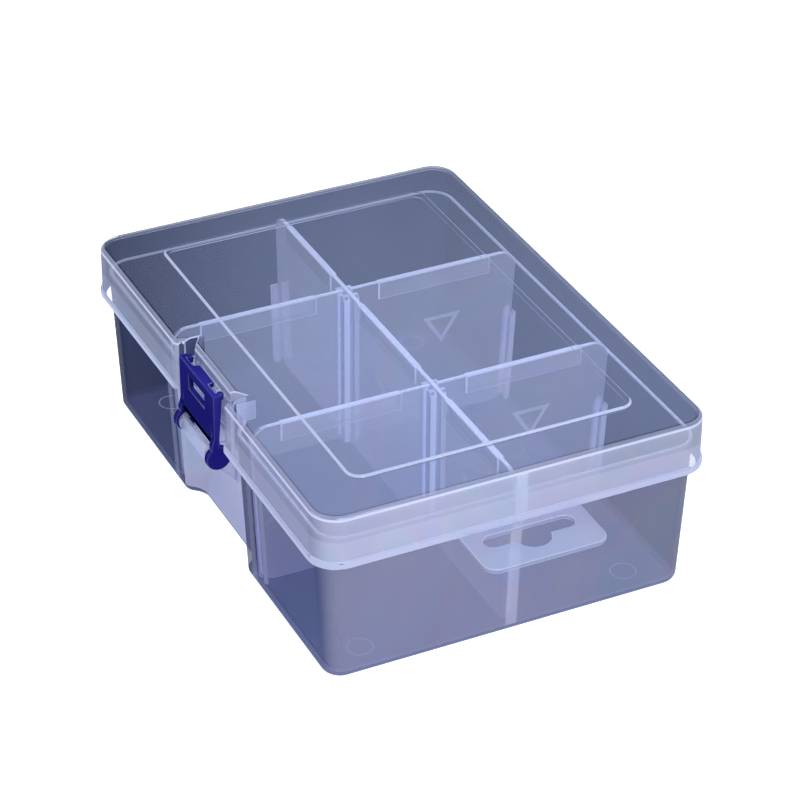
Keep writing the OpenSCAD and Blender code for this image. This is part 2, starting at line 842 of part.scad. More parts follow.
// The short dividers are equal: those of the front row are turned half round
module short_divider_back_left() {
    color(clear_plastic) short_divider(-divider_spacing / 2);
}

module short_divider_back_right() {
    color(clear_plastic) short_divider(divider_spacing / 2);
}

module short_divider_front_left() {
    color(clear_plastic) rotate([0, 0, 180]) short_divider(divider_spacing / 2);
}

module short_divider_front_right() {
    color(clear_plastic) rotate([0, 0, 180]) short_divider(-divider_spacing / 2);
}

base_tray();
lid();
latch();
long_divider();
short_divider_back_left();
short_divider_back_right();
short_divider_front_left();
short_divider_front_right();
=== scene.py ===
# %% [markdown]
# # A clear bead box with a hinged lid, a snap latch and lift-out dividers
#
# The box is moulded from clear polypropylene, and only its latch is opaque. Its shapes come
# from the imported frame. This lesson gives them their soft moulded edges, the small traces that
# moulding leaves, and a plastic that looks clear on its flat walls and milky at its rims.

# %% Load the frame
import bmesh
import bpy
import json
import math
from mathutils import Matrix, Vector
from mathutils.bvhtree import BVHTree

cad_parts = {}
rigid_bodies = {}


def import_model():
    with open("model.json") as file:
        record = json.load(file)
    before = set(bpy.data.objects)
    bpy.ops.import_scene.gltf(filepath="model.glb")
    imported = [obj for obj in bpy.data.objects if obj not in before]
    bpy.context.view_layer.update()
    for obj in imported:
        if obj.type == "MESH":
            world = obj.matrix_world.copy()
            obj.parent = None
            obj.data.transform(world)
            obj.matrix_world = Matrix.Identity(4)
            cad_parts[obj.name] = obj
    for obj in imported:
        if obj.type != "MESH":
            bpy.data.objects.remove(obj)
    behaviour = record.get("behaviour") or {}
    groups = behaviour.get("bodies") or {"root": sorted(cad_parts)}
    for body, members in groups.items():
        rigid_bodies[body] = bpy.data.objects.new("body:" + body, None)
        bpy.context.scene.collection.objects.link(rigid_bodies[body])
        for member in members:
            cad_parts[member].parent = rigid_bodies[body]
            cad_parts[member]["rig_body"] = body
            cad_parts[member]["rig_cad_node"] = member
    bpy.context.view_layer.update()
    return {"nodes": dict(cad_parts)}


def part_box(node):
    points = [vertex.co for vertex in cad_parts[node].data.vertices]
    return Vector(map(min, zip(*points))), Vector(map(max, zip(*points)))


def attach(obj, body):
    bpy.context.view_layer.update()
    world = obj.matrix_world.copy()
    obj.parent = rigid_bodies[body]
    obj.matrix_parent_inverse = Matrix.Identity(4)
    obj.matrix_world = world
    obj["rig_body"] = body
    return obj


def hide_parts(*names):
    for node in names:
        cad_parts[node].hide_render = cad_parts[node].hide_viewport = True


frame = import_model()
MM = 0.001

# %% [markdown]
# ## The camera
#
# The box is seen from above its front right corner, from rather far away, so its long edges
# stay nearly parallel. The camera is placed by the angles under which it sees the box, and
# it is rolled by less than half a degree.

# %% Camera
CAMERA_AZIMUTH = math.radians(63.99)
CAMERA_ELEVATION = math.radians(32.66)
CAMERA_ROLL = math.radians(0.43)
CAMERA_DISTANCE = 873.74 * MM
AIM_HEIGHT = 29 * MM
AIM_RIGHT = 3.38 * MM
AIM_UP = 1.22 * MM
SENSOR_WIDTH = 36
FOCAL_SHARE = 3.774  # focal length over the picture's width
CLIP_NEAR, CLIP_FAR = 0.05, 20  # in metres


def camera_axes(azimuth, elevation, roll):
    forward = Vector((
        -math.sin(azimuth) * math.cos(elevation),
        math.cos(azimuth) * math.cos(elevation),
        -math.sin(elevation),
    ))
    level = Vector((math.cos(azimuth), math.sin(azimuth), 0))
    upright = level.cross(forward)
    right = math.cos(roll) * level + math.sin(roll) * upright
    up = -math.sin(roll) * level + math.cos(roll) * upright
    return forward, right, up


forward, right, up = camera_axes(CAMERA_AZIMUTH, CAMERA_ELEVATION, CAMERA_ROLL)
aim = Vector((0, 0, AIM_HEIGHT)) + AIM_RIGHT * right + AIM_UP * up
bpy.ops.object.camera_add(location=aim - CAMERA_DISTANCE * forward)
camera = bpy.context.object
camera.name = "camera"
camera.rotation_euler = Matrix((right, up, -forward)).transposed().to_euler()
camera.data.sensor_width = SENSOR_WIDTH
camera.data.lens = SENSOR_WIDTH * FOCAL_SHARE
camera.data.clip_start = CLIP_NEAR
camera.data.clip_end = CLIP_FAR
bpy.context.scene.camera = camera
print("camera at mm:", [round(v / MM, 1) for v in camera.location])

# %% [markdown]
# ## Lamps
#
# Clear plastic shows its shape by what it mirrors, so the lamps are wide soft boxes, as in a
# product studio. One stands above the hang tab and one in front of the latch. The third stands
# behind the far corner, where the flat lid mirrors it towards the camera.

# %% Lamps
SOFT_BOXES = [
    # name, place in mm, aim in mm, width and height in mm, watts
    ("key", (560, -40, 560), (0, 0, 30), (420, 420), 4.5),
    ("front", (-160, -640, 380), (0, 0, 30), (520, 320), 1.6),
    ("back", (-562, 375, 560), (0, 0, 50), (440, 250), 5.0),
]


def soft_box(name, place, target, size, watts):
    place, target = Vector(place) * MM, Vector(target) * MM
    bpy.ops.object.light_add(type="AREA", location=place)
    lamp = bpy.context.object
    lamp.name = f"{name}_light"
    lamp.rotation_euler = (target - place).to_track_quat("-Z", "Y").to_euler()
    lamp.data.shape = "RECTANGLE"
    lamp.data.size, lamp.data.size_y = size[0] * MM, size[1] * MM
    lamp.data.energy = watts


for row in SOFT_BOXES:
    soft_box(*row)
print("soft boxes:", len(SOFT_BOXES))

# %% [markdown]
# ## Node helpers
#
# A material is a tree of nodes, and building one by hand takes three steps for each node: make
# it, link what feeds it, and set the rest. These helpers do the three in one call, so that the
# finishes below read like the recipe that they are.

# %% Node helpers
def feed(tree, socket, value):
    """Links a socket to another one, or sets it to a plain value."""
    if isinstance(value, bpy.types.NodeSocket):
        tree.links.new(value, socket)
    else:
        socket.default_value = value


def add(tree, kind, **sockets):
    node = tree.nodes.new(kind)
    for name, value in sockets.items():
        feed(tree, node.inputs[name.replace("_", " ")], value)
    return node


def maths(tree, operation, *values, clamp=False):
    node = tree.nodes.new("ShaderNodeMath")
    node.operation = operation
    node.use_clamp = clamp
    for socket, value in zip(node.inputs, values):
        feed(tree, socket, value)
    return node.outputs[0]


def ranged(tree, value, start, stop, smooth=False):
    """Turns start to stop into 0 to 1."""
    node = add(tree, "ShaderNodeMapRange", Value=value, From_Min=start, From_Max=stop)
    if smooth:
        node.interpolation_type = "SMOOTHSTEP"
    return node.outputs[0]


def ramp(tree, factor, stops):
    node = tree.nodes.new("ShaderNodeValToRGB")
    tree.links.new(factor, node.inputs[0])
    while len(node.color_ramp.elements) < len(stops):
        node.color_ramp.elements.new(0.5)
    for element, (place, colour) in zip(node.color_ramp.elements, stops):
        element.position = place
        element.color = colour
    return node.outputs["Color"]


def mixed(tree, factor, one, other):
    node = tree.nodes.new("ShaderNodeMixShader")
    for socket, value in zip(node.inputs, (factor, one, other)):
        feed(tree, socket, value)
    return node.outputs[0]


def mix_colour(tree, factor, one, other):
    node = tree.nodes.new("ShaderNodeMix")
    node.data_type = "RGBA"
    for index, value in ((0, factor), (6, one), (7, other)):  # the colour sockets of this node
        feed(tree, node.inputs[index], value)
    return node.outputs[2]


print("node helpers are ready")

# %% [markdown]
# ## World
#
# The world is plain white to the eye, also in a mirror and through glass. It lights the box at
# half that level, because a full white from all sides would wash the plastic out. Light Path
# tells the two kinds of ray apart. A clear box has many layers, one behind the other, so a ray
# may pass through more of them than usual.

# %% World
WHITE = (1, 1, 1, 1)
WORLD_LEVEL = 0.5
CLEAR_LAYERS = 64


def white_to_the_eye(tree, strength_socket, lit, seen):
    """Gives a strength one value for what is seen or mirrored, and another for light."""
    path = tree.nodes.new("ShaderNodeLightPath")
    either = maths(tree, "MAXIMUM", path.outputs["Is Camera Ray"], path.outputs["Is Glossy Ray"])
    any_of = maths(tree, "MAXIMUM", either, path.outputs["Is Transmission Ray"])
    level = add(tree, "ShaderNodeMapRange", Value=any_of, To_Min=lit, To_Max=seen)
    tree.links.new(level.outputs["Result"], strength_socket)


world = bpy.data.worlds.new("studio")
bpy.context.scene.world = world
world.use_nodes = True
background = world.node_tree.nodes["Background"]
background.inputs["Color"].default_value = WHITE
white_to_the_eye(world.node_tree, background.inputs["Strength"], WORLD_LEVEL, 1.0)
bpy.context.scene.cycles.transparent_max_bounces = CLEAR_LAYERS
bpy.context.scene.view_settings.view_transform = "Standard"
print("world level:", WORLD_LEVEL)

# %% [markdown]
# ## Ground
#
# The box stands on white paper. A real sweep of paper is lit until it is white in the picture.
# Here its own glow does that, for the eye only, so that no more light falls on the box, and the
# paper still takes the shadow. It lies a hair below the box, so the two don't flicker.

# %% Ground
GROUND_SIZE = 6  # in metres
GROUND_DROP = 0.02  # in mm
GROUND_COLOUR = (0.8, 0.8, 0.8, 1)
GROUND_GLOW = 0.6
PAPER_ROUGHNESS = 0.9

bpy.ops.mesh.primitive_plane_add(size=GROUND_SIZE, location=(0, 0, -GROUND_DROP * MM))
ground = bpy.context.object
ground.name = "ground"
paper = bpy.data.materials.new("white_paper")
paper.use_nodes = True
shader = paper.node_tree.nodes["Principled BSDF"]
shader.inputs["Base Color"].default_value = GROUND_COLOUR
shader.inputs["Roughness"].default_value = PAPER_ROUGHNESS
shader.inputs["Specular IOR Level"].default_value = 0
shader.inputs["Emission Color"].default_value = WHITE
white_to_the_eye(paper.node_tree, shader.inputs["Emission Strength"], 0, GROUND_GLOW)
ground.data.materials.append(paper)
print("ground glow:", GROUND_GLOW)

# %% [markdown]
# ## The milk in clear plastic
#
# A clear moulded wall scatters some light, which makes it milky: hardly on a flat wall, and
# strongly at a rim, a rib or a thick edge, where the light runs a long way inside the plastic.
# A glass shader with a real volume could do this too, but it would be slow and noisy in walls
# this thin. So each finish gets a share of milk instead, laid out by place: more on the ends of
# the box than on its sides, which is painted light for the end that the lamp above the hang tab
# lights, more in a band of height, and more where the dividers stand against a wall. Long soft
# streaks vary it, like the flow marks that plastic leaves as it fills a mould.

# %% Milk
FLOW_SCALE = (18, 26, 7)  # the streaks are long along the height
FLOW_DETAIL, FLOW_ROUGHNESS = 4.0, 0.55
ROW_X = 28.5  # the rows of short dividers
POST_HALF, POST_BLUR = 1.7, 0.3  # half the width of a divider's foot, and how softly it ends
BAND_OUTER, BAND_INNER = 0.5, 0.3  # how far a soft end reaches out of its band and into it
CORNER_TURN = (0.1, 0.95)  # the part of a corner in which the side becomes the end


def flow_marks(tree, place):
    stretched = add(tree, "ShaderNodeMapping", Vector=place)
    stretched.inputs["Scale"].default_value = FLOW_SCALE
    noise = add(tree, "ShaderNodeTexNoise", Vector=stretched.outputs[0], Scale=1.0,
                Detail=FLOW_DETAIL, Roughness=FLOW_ROUGHNESS)
    return noise.outputs[0]


def end_facing(tree, coordinate):
    """1 on faces that look along the box, 0 on its sides, and between them round the corners."""
    along = add(tree, "ShaderNodeSeparateXYZ", Vector=coordinate.outputs["Normal"]).outputs["X"]
    return ranged(tree, maths(tree, "ABSOLUTE", along), *CORNER_TURN, smooth=True)


def with_posts(tree, share, split, turned, posts):
    """Adds the milk of the dividers' feet, posts[0] on the sides and posts[1] on the ends."""
    from_centre = maths(tree, "ABSOLUTE", split.outputs["X"])
    from_row = maths(tree, "ABSOLUTE", maths(tree, "SUBTRACT", from_centre, ROW_X * MM))
    from_middle = maths(tree, "ABSOLUTE", split.outputs["Y"])
    on_side = maths(tree, "SUBTRACT", 1.0, turned)
    for distance, more, facing in ((from_row, posts[0], on_side), (from_middle, posts[1], turned)):
        near = ranged(tree, distance, (POST_HALF + POST_BLUR) * MM, (POST_HALF - POST_BLUR) * MM)
        share = maths(tree, "MULTIPLY_ADD", maths(tree, "MULTIPLY", near, facing), more, share)
    return share


def with_bands(tree, share, height, bands):
    """Adds milk between two heights for each (low, high, share) of bands."""
    for low, high, more in bands:
        above = ranged(tree, height, (low - BAND_OUTER) * MM, (low + BAND_INNER) * MM, smooth=True)
        below = ranged(tree, height, (high + BAND_OUTER) * MM, (high - BAND_INNER) * MM, smooth=True)
        share = maths(tree, "MULTIPLY_ADD", maths(tree, "MULTIPLY", above, below), more, share)
    return share


def milk_share(tree, coordinate, flow, milk, end, bands, posts, streaks):
    """The share of milk at a place. A finish that has posts has an end as well."""
    split = add(tree, "ShaderNodeSeparateXYZ", Vector=coordinate.outputs["Object"])
    cloud = maths(tree, "MULTIPLY_ADD", flow, 2 * streaks, 1 - streaks)
    if end is None:
        share = maths(tree, "MULTIPLY", cloud, milk)
    else:
        # Faces that look along the box get more milk: painted light, for the end that the lamp above
        # the hang tab lights.
        turned = end_facing(tree, coordinate)
        level = maths(tree, "MULTIPLY_ADD", turned, end - milk, milk)
        share = maths(tree, "MULTIPLY", cloud, level)
        if any(posts):
            share = with_posts(tree, share, split, turned, posts)
    return with_bands(tree, share, split.outputs["Z"], bands)


print("rows of dividers at mm:", -ROW_X, ROW_X)

# %% [markdown]
# ## The colours of clear plastic
#
# The milk is a pale blue, with faint rainbow clouds: the stress colours that moulded plastic
# shows in polarised light. The faces that line the hollow are painted a dark blue shade, the
# darkness that the far side of the box shows when it is seen through the near one. This painted
# shade is paler towards the front end, where more light gets in. All of it is laid out on Object
# coordinates, so it stays on the plastic when the lid swings.

# %% Colours
MILK = (0.56, 0.61, 0.83)
# The depth colours below are painted shade: the darkness that the far side of the box shows through the
# near one, dark at the back and paler towards the front, where more light gets in.
SHADE_DARK = (0.029, 0.039, 0.108, 1)
SHADE_PALE = (0.090, 0.110, 0.220, 1)
SHADE_FROM, SHADE_TO = -80, 75  # where along the box it is dark and pale, in mm
SHADE_UNEVEN = 0.8  # how far the flow marks move it
SHADE_TINT = 0.1  # the depth takes this much of the tint that the milk gets
STRESS_SCALE, STRESS_DETAIL, STRESS_SWIRL = 22.0, 2.0, 1.5
STRESS_COLOURS = [
    (0.34, (0.40, 0.50, 0.95, 1)),
    (0.44, (0.42, 0.72, 0.76, 1)),
    (0.50, (0.80, 0.72, 0.62, 1)),
    (0.56, (0.86, 0.46, 0.62, 1)),
    (0.66, (0.50, 0.48, 0.95, 1)),
]


def plastic_colours(tree, place, flow, pale, tint):
    """The colours of the milk and of the painted shade."""
    cloud = add(tree, "ShaderNodeTexNoise", Vector=place, Scale=STRESS_SCALE,
                Detail=STRESS_DETAIL, Distortion=STRESS_SWIRL)
    rainbow = ramp(tree, cloud.outputs[0], STRESS_COLOURS)
    milk_colour = mix_colour(tree, pale * tint, tuple(pale * part for part in MILK) + (1,), rainbow)
    along = add(tree, "ShaderNodeSeparateXYZ", Vector=place).outputs["X"]
    # The painted shade is paler towards the front end, where more light gets in.
    frontness = ranged(tree, along, SHADE_FROM * MM, SHADE_TO * MM)
    unevenness = maths(tree, "MULTIPLY_ADD", flow, SHADE_UNEVEN, -SHADE_UNEVEN / 2)
    how_pale = maths(tree, "ADD", frontness, unevenness, clamp=True)
    plain_shade = mix_colour(tree, how_pale, SHADE_DARK, SHADE_PALE)
    return milk_colour, mix_colour(tree, SHADE_TINT * tint, plain_shade, rainbow)


print("stress colours:", len(STRESS_COLOURS))

# %% [markdown]
# ## Clear plastic
#
# A clear wall does three things at once: it lets light through, it scatters some, and it mirrors
# a little, more at a glancing angle. The finish mixes a shader for each. The milk sits on the
# face that the eye meets first, and the face behind it is left clear, so that a wall counts
# once. To shadow rays the wall is nearly clear, or the inside of the box would be too dark.

# %% Clear plastic
MIRROR_COLOUR = (0.56, 0.68, 1, 1)
CLEAR_COLOUR = (0.97, 0.975, 0.995, 1)
INNER_GLOW = 0.4  # the share of the milk that light shines through from behind
SHADOW_SHARE = 0.12  # the most of the light that a wall keeps back
WAVE_SCALE, WAVE_STRENGTH, WAVE_DEPTH = 60.0, 0.12, 0.2  # slow waves of the skin, deep in mm
DULL_SCALE, DULL_RANGE = 500.0, 0.06  # fine spots in which the roughness varies


def clear_plastic(name, milk, end=None, pale=1.0, painted_shade=0.0, back=0.0, shine=1.14, roughness=0.3,
                  bands=(), posts=(0, 0), streaks=0.25, tint=0.14):
    """Clear plastic with a share of milk, and shares of painted dark shade on a face and on its back.
    end is the milk of faces that look along the box, and it blends in round the corners; more milk
    there is painted light. pale scales the milk's colour. shine is the index of refraction of its
    gloss. bands are (low, high, share): more milk between two heights in mm. posts is the milk added
    where the dividers stand against the wall, on the sides and on the ends."""
    material = bpy.data.materials.new(name)
    material.use_nodes = True
    tree = material.node_tree
    tree.nodes.clear()
    coordinate = tree.nodes.new("ShaderNodeTexCoord")
    place = coordinate.outputs["Object"]
    shadow = tree.nodes.new("ShaderNodeLightPath").outputs["Is Shadow Ray"]
    seen = maths(tree, "SUBTRACT", 1.0, shadow)
    backfacing = tree.nodes.new("ShaderNodeNewGeometry").outputs["Backfacing"]
    first = maths(tree, "SUBTRACT", 1.0, backfacing)
    flow = flow_marks(tree, place)
    share = milk_share(tree, coordinate, flow, milk, end, bands, posts, streaks)
    milk_colour, shade_colour = plastic_colours(tree, place, flow, pale, tint)

    body = add(tree, "ShaderNodeBsdfTransparent", Color=CLEAR_COLOUR).outputs[0]
    # A dark shade is painted on the face that the eye meets and on its back: painted shade for the
    # darkness seen through the box.
    if painted_shade or back:
        shade_shader = add(tree, "ShaderNodeBsdfDiffuse", Color=shade_colour)
        lined = maths(tree, "MULTIPLY", maths(tree, "MULTIPLY_ADD", first, painted_shade - back, back), seen)
        body = mixed(tree, lined, body, shade_shader.outputs[0])

    scattered = add(tree, "ShaderNodeBsdfDiffuse", Color=milk_colour)
    shone_through = add(tree, "ShaderNodeBsdfTranslucent", Color=milk_colour)
    milk_shader = mixed(tree, INNER_GLOW, scattered.outputs[0], shone_through.outputs[0])
    held = maths(tree, "MULTIPLY", share, first, clamp=True)
    in_shadow = maths(tree, "MULTIPLY", held, SHADOW_SHARE / max(milk, end or 0, SHADOW_SHARE))
    amount = maths(tree, "ADD", maths(tree, "MULTIPLY", held, seen),
                   maths(tree, "MULTIPLY", in_shadow, shadow))
    body = mixed(tree, amount, body, milk_shader)

    wave = add(tree, "ShaderNodeTexNoise", Vector=place, Scale=WAVE_SCALE, Detail=1.0)
    bump = add(tree, "ShaderNodeBump", Strength=WAVE_STRENGTH, Distance=WAVE_DEPTH * MM,
               Height=wave.outputs[0])
    fine = add(tree, "ShaderNodeTexNoise", Vector=place, Scale=DULL_SCALE, Detail=2.0)
    dull = maths(tree, "MULTIPLY_ADD", fine.outputs[0], DULL_RANGE, roughness - DULL_RANGE / 2)
    mirror = add(tree, "ShaderNodeBsdfAnisotropic", Color=MIRROR_COLOUR, Roughness=dull,
                 Normal=bump.outputs[0])
    fresnel = add(tree, "ShaderNodeFresnel", IOR=shine)
    gloss = maths(tree, "MULTIPLY", maths(tree, "MULTIPLY", fresnel.outputs[0], first), seen)
    add(tree, "ShaderNodeOutputMaterial", Surface=mixed(tree, gloss, body, mirror.outputs[0]))
    return material


print("a wall keeps back at most:", SHADOW_SHARE)

# %% [markdown]
# ## The finishes of the box
#
# Each finish is the same plastic with another amount of milk, painted dark shade and gloss. A
# face with less than a quarter of milk renders grainy, because few paths of light stop at it. So a
# wall is either quite clear, or it gets more milk of a darker colour. A wide gloss renders calmer
# than a narrow one as well, so only the edges have a narrow gloss.

# %% Clear finishes
EDGE_GLOSS = 0.12
materials_before = len(bpy.data.materials)

# The dark shares of a finish, on the face and on its back, are painted shade for the darkness seen
# through the box. The outer wall's ends get more milk than its sides: painted light for the lit end.
outer_wall = clear_plastic("outer_wall", milk=0.0, end=0.40, pale=0.70, back=0.97, posts=(0.3, 0.4),
                           shine=1.035, tint=0.16)
bay_wall = clear_plastic("bay_wall", milk=0.74, back=0.85, shine=1.1, streaks=0.35)
# The foot is painted dark on both of its sides: painted shade for the shade under the box.
foot = clear_plastic("foot", milk=0.10, painted_shade=0.97, back=0.97, shine=1.15)
# The lining is painted dark: painted shade for the hollow seen through the walls.
lining = clear_plastic("lining", milk=0.0, painted_shade=1.0, shine=1.0)
lid_top = clear_plastic("lid_top", milk=0.0, shine=1.17)
# The skirt's ends get more milk than its sides: painted light for the lit end.
skirt = clear_plastic("skirt", milk=0.33, end=0.66, pale=0.87, back=0.96, bands=[(40, 48, 0.14)],
                      posts=(0, 0.3), shine=1.1, tint=0.1)
bead = clear_plastic("rim_bead", milk=0.92, pale=0.95, back=0.97, shine=1.3, streaks=0.08, tint=0.06)
# The milky edge is paler than the milk itself: real milk with a painted highlight on thin edges.
rim = clear_plastic("milky_edge_and_highlight", milk=0.92, pale=1.12, back=0.6, shine=1.45, roughness=EDGE_GLOSS,
                    streaks=0.08, tint=0.06)
tray_edge = clear_plastic("tray_edge", milk=0.62, back=0.6, shine=1.4, roughness=EDGE_GLOSS,
                          streaks=0.08, tint=0.06)
# round_edge is the dimmer copy of the milky edge, for edges that look away from the lamps and between
# the highlight lines: painted shade.
round_edge = clear_plastic("round_edge", milk=0.40, back=0.85, shine=1.5, roughness=EDGE_GLOSS)
tab_plastic = clear_plastic("tab_plastic", milk=0.40, pale=0.76, back=0.3, shine=1.15)
small_part = clear_plastic("small_part", milk=0.44, pale=0.85, back=0.2, shine=1.3)
# The rib is painted dark behind: painted shade where the wall has no lining.
rib = clear_plastic("rib", milk=0.62, painted_shade=1.0, shine=1.1)
long_web = clear_plastic("long_web", milk=0.60, shine=1.08)
short_web = clear_plastic("short_web", milk=0.38, pale=0.9, shine=1.08)
mark = clear_plastic("raised_mark", milk=0.6, shine=1.2)
strip = clear_plastic("grip_strip", milk=0.46, shine=1.1)
print("clear finishes:", len(bpy.data.materials) - materials_before)

# %% [markdown]
# ## Dark blue latch plastic
#
# The latch is opaque and glossy. Moulded polypropylene has a skin like very fine orange peel,
# slow waves where it shrank as it cooled, and edges that wear a little paler. One shader with
# two scales of noise gives all of that. The wide faces get no mirror of their own, as the dark
# plate shows none from here, and the edges get a faint one.

# %% Latch plastic
BLUE = (0.0075, 0.0075, 0.120, 1)
BLUE_PALE = (0.011, 0.011, 0.150, 1)
BLUE_WORN = (0.030, 0.030, 0.260, 1)
WORN_FROM, WORN_TO, WORN_SHARE = 0.5, 0.62, 0.5  # pointiness of an edge, and how far it pales
PEEL_SCALE, SHRINK_SCALE = 900.0, 120.0
SHRINK_WEIGHT = 2.0  # how much more the slow waves count than the orange peel
SKIN_STRENGTH, SKIN_DEPTH = 0.12, 0.1  # the depth is in mm
SKIN_GLOSS, SKIN_GLOSS_RANGE = 0.18, 0.16


def latch_plastic(name, level):
    material = bpy.data.materials.new(name)
    material.use_nodes = True
    tree = material.node_tree
    shader = tree.nodes["Principled BSDF"]
    place = tree.nodes.new("ShaderNodeTexCoord").outputs["Object"]
    pointiness = tree.nodes.new("ShaderNodeNewGeometry").outputs["Pointiness"]
    peel = add(tree, "ShaderNodeTexNoise", Vector=place, Scale=PEEL_SCALE, Detail=2.0).outputs[0]
    wave = add(tree, "ShaderNodeTexNoise", Vector=place, Scale=SHRINK_SCALE, Detail=2.0).outputs[0]
    worn = maths(tree, "MULTIPLY", ranged(tree, pointiness, WORN_FROM, WORN_TO), WORN_SHARE)
    colour = mix_colour(tree, worn, mix_colour(tree, wave, BLUE, BLUE_PALE), BLUE_WORN)
    both = maths(tree, "MULTIPLY_ADD", wave, SHRINK_WEIGHT, peel)
    bump = add(tree, "ShaderNodeBump", Strength=SKIN_STRENGTH, Distance=SKIN_DEPTH * MM, Height=both)
    rough = maths(tree, "MULTIPLY_ADD", peel, SKIN_GLOSS_RANGE, SKIN_GLOSS)
    feed(tree, shader.inputs["Base Color"], colour)
    feed(tree, shader.inputs["Roughness"], rough)
    feed(tree, shader.inputs["Normal"], bump.outputs[0])
    feed(tree, shader.inputs["Specular IOR Level"], level)
    return material


latch_face = latch_plastic("latch_face", level=0.0)
latch_edge = latch_plastic("latch_edge", level=0.18)
print("latch finishes:", latch_face.name, latch_edge.name)

# %% [markdown]
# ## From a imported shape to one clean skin
#
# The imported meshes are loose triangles. The shape is right, so each piece starts as a copy of
# its own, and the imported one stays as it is. The copy's doubles are merged, which closes it to
# one skin, and its flat areas are joined into single faces, so that only real edges are left.

# %% Clean skin
MERGE_DISTANCE = 0.002  # in mm
FLAT_ANGLE = math.radians(0.4)


def only(piece):
    bpy.ops.object.select_all(action="DESELECT")
    piece.select_set(True)
    bpy.context.view_layer.objects.active = piece


def clean_copy(node, name, slots):
    """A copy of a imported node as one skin, with the finishes of slots, all in the first one."""
    piece = frame["nodes"][node].copy()
    piece.data = frame["nodes"][node].data.copy()
    piece.name = piece.data.name = name
    for key in ("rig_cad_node", "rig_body"):  # the copy is a piece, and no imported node
        if key in piece:
            del piece[key]
    piece.parent = None
    bpy.context.scene.collection.objects.link(piece)
    piece.data.materials.clear()
    for slot in slots:
        piece.data.materials.append(slot)
    only(piece)
    bpy.ops.object.mode_set(mode="EDIT")
    bpy.ops.mesh.select_mode(type="VERT")
    bpy.ops.mesh.select_all(action="SELECT")
    bpy.ops.mesh.remove_doubles(threshold=MERGE_DISTANCE * MM)
    bpy.ops.mesh.dissolve_limited(angle_limit=FLAT_ANGLE)
    bpy.ops.object.mode_set(mode="OBJECT")
    for polygon in piece.data.polygons:
        polygon.material_index = 0
    return piece


print("packed nodes:", len(frame["nodes"]))

# %% [markdown]
# ## Soft moulded edges
#
# No edge of a moulded piece is a knife edge, and on clear plastic the small round is what lights
# up. A bevel on every sharp edge makes it, and its faces take the finish of the second slot. The
# bevel may run past a corner where it has no room. Its own clamp would thin all the edges for
# one tight place, so it is left off, and points that strayed are put back on the sharp skin.
#
# After the cleaning, a flat ring is one face that goes round its hole, as the ledge of the lid
# goes round the mouth of the box. A bevel could close that hole, so low rings are cut into
# triangles first.

# %% Soft edges
EDGE = 1  # the slot that the bevels take
SHARP_ANGLE = math.radians(38)
THIN_WEIGHT = 0.33
RING_CORNERS = 8  # a flat face with more corners than this may be a ring
STRAY_SHARE = 0.8  # a point further off than this share of the bevel's width has strayed
WIDE_AREA = 60 * MM ** 2
WIDE_CORNERS = 6


def weigh_sharp_edges(piece, thin_below):
    """Marks the edges to bevel, and gives the sharp skin to measure from."""
    skin = bmesh.new()
    skin.from_mesh(piece.data)
    sharp_skin = BVHTree.FromBMesh(skin)

    def is_low(part):
        return max(corner.co.z for corner in part.verts) < thin_below * MM

    low_rings = [face for face in skin.faces if len(face.verts) > RING_CORNERS and is_low(face)]
    bmesh.ops.triangulate(skin, faces=low_rings)
    weight = skin.edges.layers.float.new("bevel_weight_edge")
    for line in skin.edges:
        if len(line.link_faces) == 2 and line.calc_face_angle() > SHARP_ANGLE:
            line[weight] = THIN_WEIGHT if is_low(line) else 1
    skin.to_mesh(piece.data)
    skin.free()
    return sharp_skin


def put_back_strays(piece, node, sharp_skin, reach):
    lowest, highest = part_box(node)
    strays = 0
    for vertex in piece.data.vertices:
        vertex.co = [min(max(vertex.co[i], lowest[i]), highest[i]) for i in range(3)]
        place, _, _, distance = sharp_skin.find_nearest(vertex.co)
        if distance > reach:
            vertex.co = place
            strays += 1
    return strays


def moulded_copy(node, name, slots, edge, segments=2, thin_below=0):
    """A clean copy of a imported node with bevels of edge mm. Below the height thin_below, in mm,
    the shapes are small, and their bevels are a third as wide."""
    piece = clean_copy(node, name, slots)
    sharp_skin = weigh_sharp_edges(piece, thin_below)
    bevel = piece.modifiers.new("soft_edges", "BEVEL")
    bevel.width = edge * MM
    bevel.segments = segments
    bevel.limit_method = "WEIGHT"
    bevel.material = EDGE
    bevel.use_clamp_overlap = False
    bpy.ops.object.modifier_apply(modifier=bevel.name)
    print(name, "stray points:", put_back_strays(piece, node, sharp_skin, STRAY_SHARE * edge * MM))
    bpy.ops.object.shade_smooth_by_angle(angle=SHARP_ANGLE)
    # A wide flat face keeps its own normal, or the soft edges would make it mirror like a dish
    for polygon in piece.data.polygons:
        if polygon.area > WIDE_AREA or polygon.loop_total > WIDE_CORNERS:
            polygon.use_smooth = False
    return piece


print("edges are sharp from degrees:", round(math.degrees(SHARP_ANGLE)))

# %% [markdown]
# ## Painting the faces
#
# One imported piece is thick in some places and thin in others, so it takes several finishes. They
# could be painted by hand, face by face. Here a short rule for each piece looks at where a face
# lies and which way it faces, and names its finish.

# %% Paint and settle
MIDDLE = Vector((0, 0, 26))
DOWNWARD = -0.5  # a normal whose z is below this looks down


def paint(piece, finish_of):
    """Gives each face the finish that finish_of(centre in mm, normal, face) names, if any."""
    slots = list(piece.data.materials)
    for polygon in piece.data.polygons:
        finish = finish_of(polygon.center / MM, polygon.normal, polygon)
        if finish:
            polygon.material_index = slots.index(finish)


def towards_middle(centre, normal):
    """How far a face looks at the middle of the box: positive inside, negative outside."""
    return normal.dot(MIDDLE - centre)


def settle(piece, node, body):
    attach(piece, body)
    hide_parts(node)
    print(piece.name, "faces:", len(piece.data.polygons))


print("middle of the box at mm:", tuple(MIDDLE))

